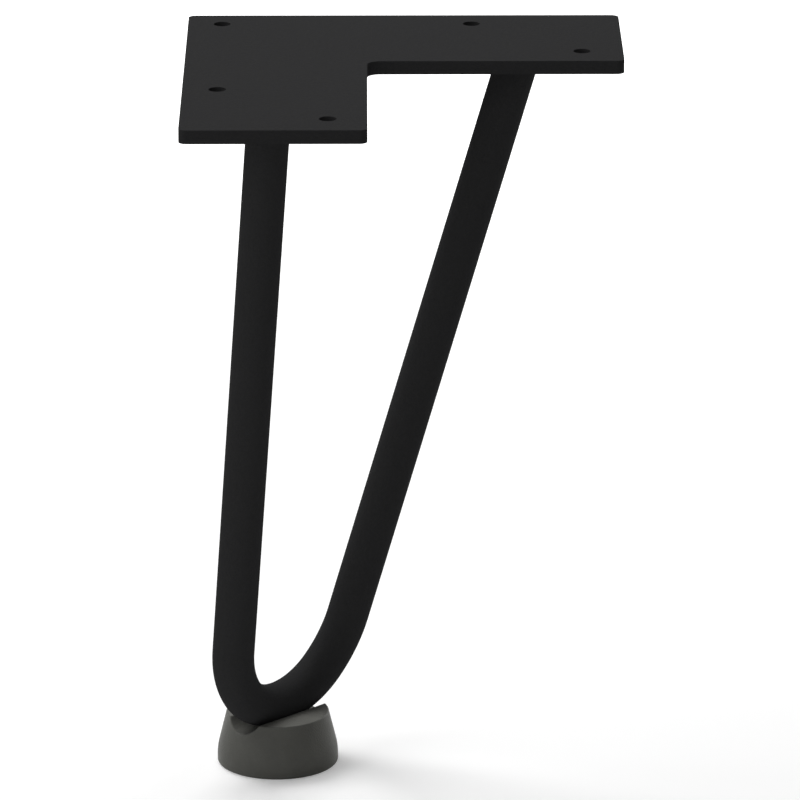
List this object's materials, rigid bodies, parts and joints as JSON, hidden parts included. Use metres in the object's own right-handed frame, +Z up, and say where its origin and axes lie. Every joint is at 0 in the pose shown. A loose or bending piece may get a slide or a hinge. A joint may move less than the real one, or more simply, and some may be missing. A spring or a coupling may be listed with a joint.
{
  "type": "hairpin table leg",
  "caption": "Short hairpin table leg: round steel bar bent into a leaning loop under an L-shaped screw plate, standing on a conical rubber foot.",
  "frame": {"origin": "on the plate's upper face, straight above the middle of the foot", "axes": "+Z up, out of the plate's upper face; +X along one arm of the plate, towards its end; +Y away from the other arm's end, so the plate's outer corner points to -X and +Y"},
  "size_m": [0.1215, 0.1215, 0.2155],
  "materials": {
    "powder_coat": "matte black powder coat",
    "foot_rubber": "matte dark grey moulded rubber"
  },
  "bodies": {
    "root": {"mounting_plate": "powder_coat", "hairpin_rod": "powder_coat", "foot_cap": "foot_rubber"}
  },
  "joints": []
}
